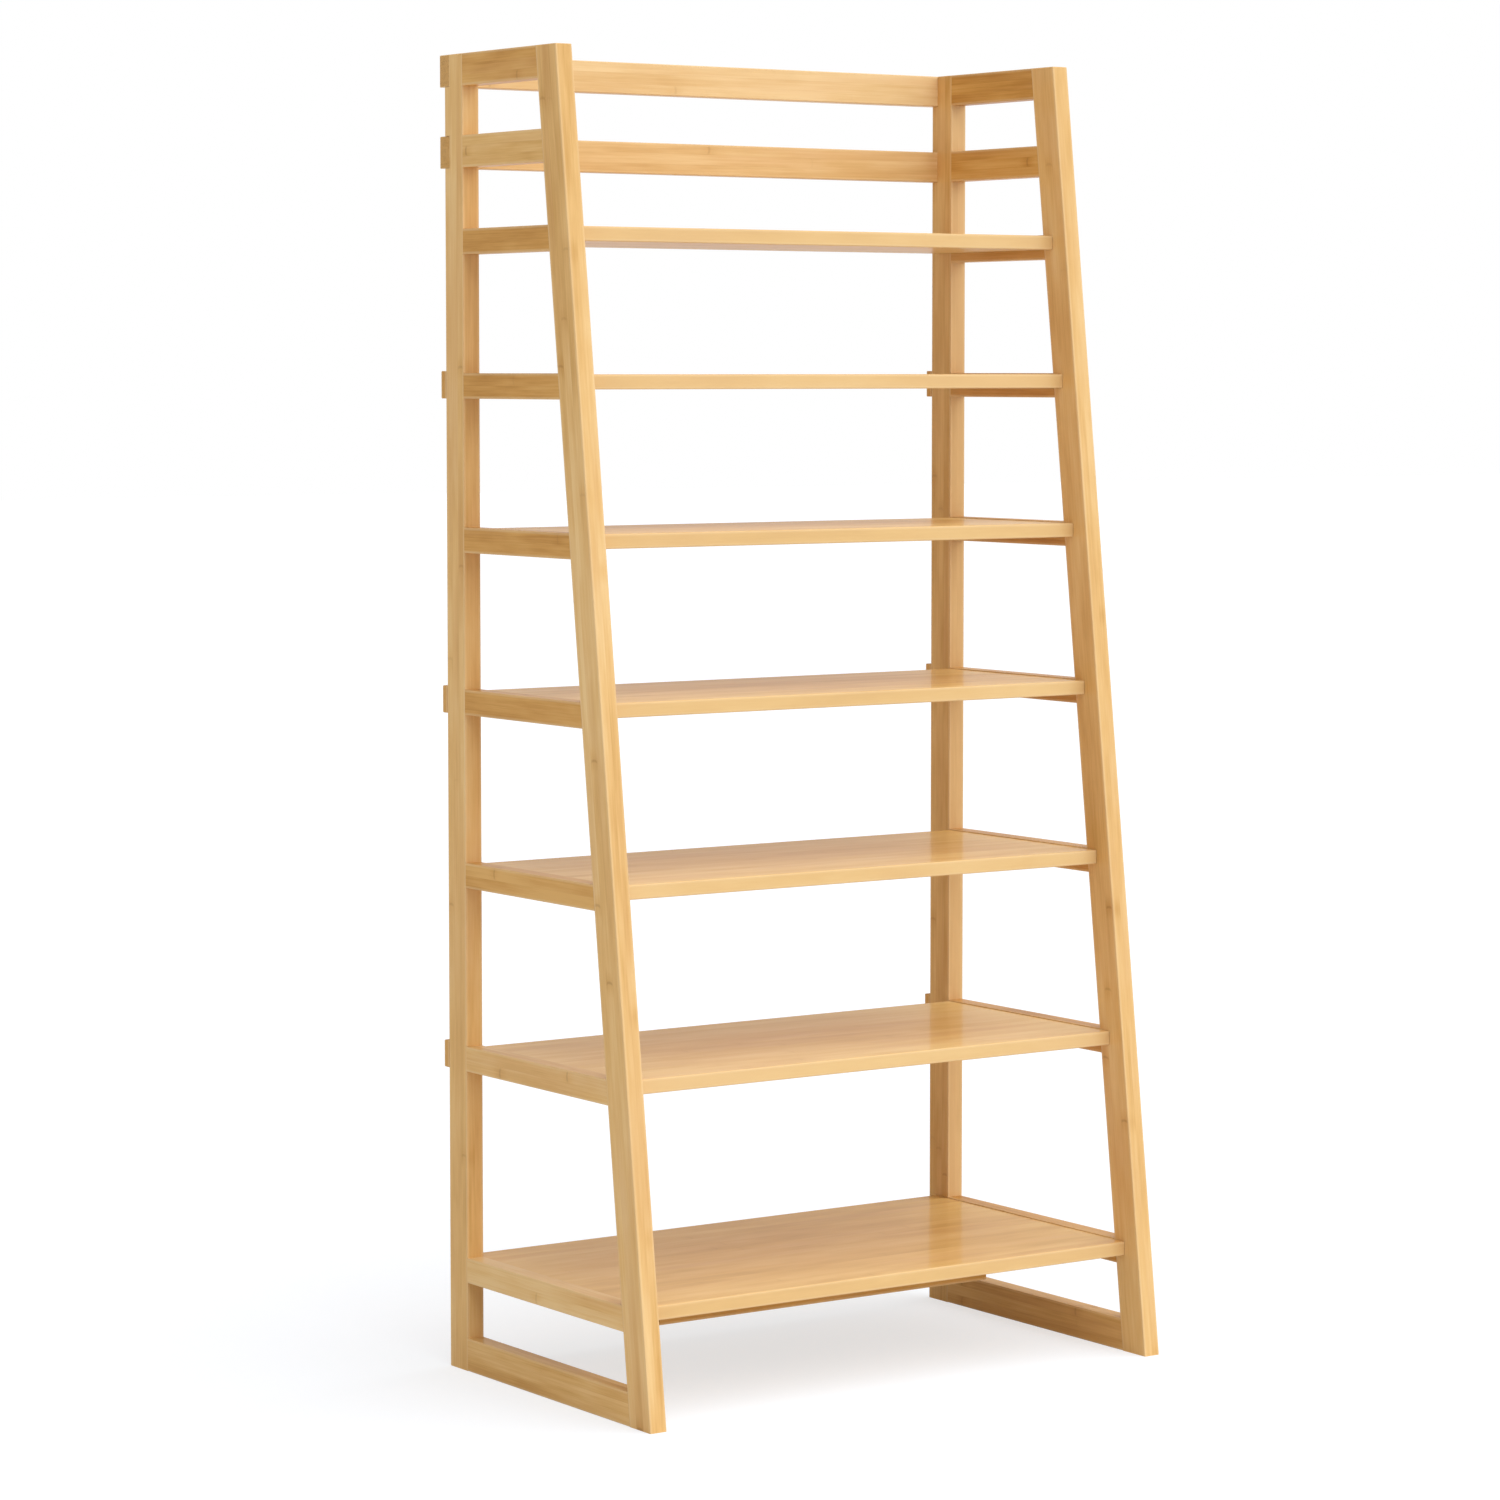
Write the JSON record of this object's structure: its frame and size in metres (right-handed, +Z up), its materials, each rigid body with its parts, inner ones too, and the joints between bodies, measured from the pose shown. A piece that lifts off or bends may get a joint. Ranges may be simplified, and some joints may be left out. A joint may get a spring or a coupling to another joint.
{
  "type": "ladder shelf",
  "caption": "Free-standing bamboo ladder shelf: open side frames with upright rear and raked front posts carry boards that deepen towards the floor, with gallery rails behind the top.",
  "frame": {"origin": "on the floor, under the middle of the shelf's bounding box", "axes": "+X to the shelf's right as seen from the front, -Y to the front, +Z up"},
  "size_m": [0.866, 0.525, 1.83],
  "materials": {
    "bamboo_frame": "satin clear lacquer",
    "bamboo_board": "satin clear lacquer",
    "screw_steel": "zinc plated"
  },
  "bodies": {
    "root": {"left_rear_post": "bamboo_frame", "left_front_post": "bamboo_frame", "left_top_rail": "bamboo_frame", "left_gallery_rail": "bamboo_frame", "left_bearer_1": "bamboo_frame", "left_bearer_2": "bamboo_frame", "left_bearer_3": "bamboo_frame", "left_bearer_4": "bamboo_frame", "left_bearer_5": "bamboo_frame", "left_bearer_6": "bamboo_frame", "left_bearer_7": "bamboo_frame", "left_foot_rail": "bamboo_frame", "right_rear_post": "bamboo_frame", "right_front_post": "bamboo_frame", "right_top_rail": "bamboo_frame", "right_gallery_rail": "bamboo_frame", "right_bearer_1": "bamboo_frame", "right_bearer_2": "bamboo_frame", "right_bearer_3": "bamboo_frame", "right_bearer_4": "bamboo_frame", "right_bearer_5": "bamboo_frame", "right_bearer_6": "bamboo_frame", "right_bearer_7": "bamboo_frame", "right_foot_rail": "bamboo_frame", "rear_top_rail": "bamboo_frame", "rear_gallery_rail": "bamboo_frame", "bottom_shelf_stiffener": "bamboo_frame", "left_spacer_2": "bamboo_frame", "left_spacer_4": "bamboo_frame", "left_spacer_6": "bamboo_frame", "right_spacer_2": "bamboo_frame", "right_spacer_4": "bamboo_frame", "right_spacer_6": "bamboo_frame", "shelf_1": "bamboo_board", "shelf_2": "bamboo_board", "shelf_3": "bamboo_board", "shelf_4": "bamboo_board", "shelf_5": "bamboo_board", "shelf_6": "bamboo_board", "shelf_7": "bamboo_board", "rear_rail_screws": "screw_steel", "shelf_tongues": "bamboo_frame"}
  },
  "joints": []
}
